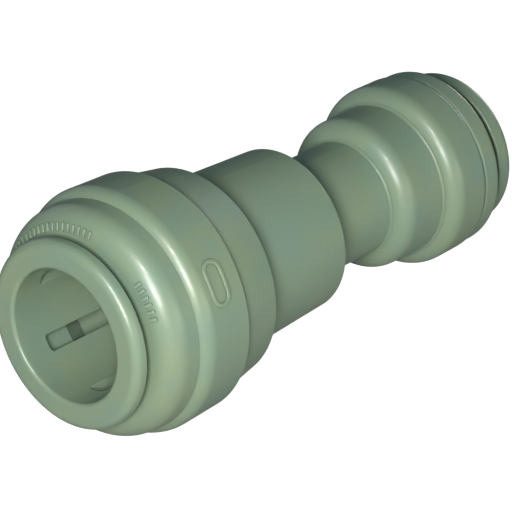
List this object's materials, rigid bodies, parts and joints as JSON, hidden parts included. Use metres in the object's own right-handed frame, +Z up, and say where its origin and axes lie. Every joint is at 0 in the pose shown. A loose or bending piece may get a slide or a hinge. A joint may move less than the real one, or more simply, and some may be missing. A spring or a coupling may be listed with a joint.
{
  "type": "push fit coupling",
  "caption": "Straight reducing push-fit coupling that joins a larger tube to a smaller one, with a slotted release collet, grip teeth and seal ring inside a cap at each end.",
  "frame": {"origin": "on the coupling's axis, halfway between the outer faces of the two collets at rest", "axes": "+X along the axis from the large end to the small end, +Z up; the part is turned about X"},
  "size_m": [0.0644, 0.0282, 0.0282],
  "materials": {
    "body_acetal": "satin moulded grey-green acetal",
    "cap_acetal": "satin moulded grey-green acetal",
    "collet_acetal": "satin moulded grey-green acetal",
    "stainless": "spring stainless strip",
    "seal_rubber": "smooth nitrile rubber"
  },
  "bodies": {
    "housing": {"body": "body_acetal", "large_cap": "cap_acetal", "small_cap": "cap_acetal", "large_o_ring": "seal_rubber", "small_o_ring": "seal_rubber"},
    "large_collet": {"large_collet": "collet_acetal", "large_grip_teeth": "stainless"},
    "small_collet": {"small_collet": "collet_acetal", "small_grip_teeth": "stainless"}
  },
  "joints": [
    {"name": "large_collet_release", "type": "slide", "parent": "housing", "child": "large_collet", "axis": [1, 0, 0], "range_m": [0, 0.0011]},
    {"name": "small_collet_release", "type": "slide", "parent": "housing", "child": "small_collet", "axis": [-1, 0, 0], "range_m": [0, 0.0013]}
  ]
}
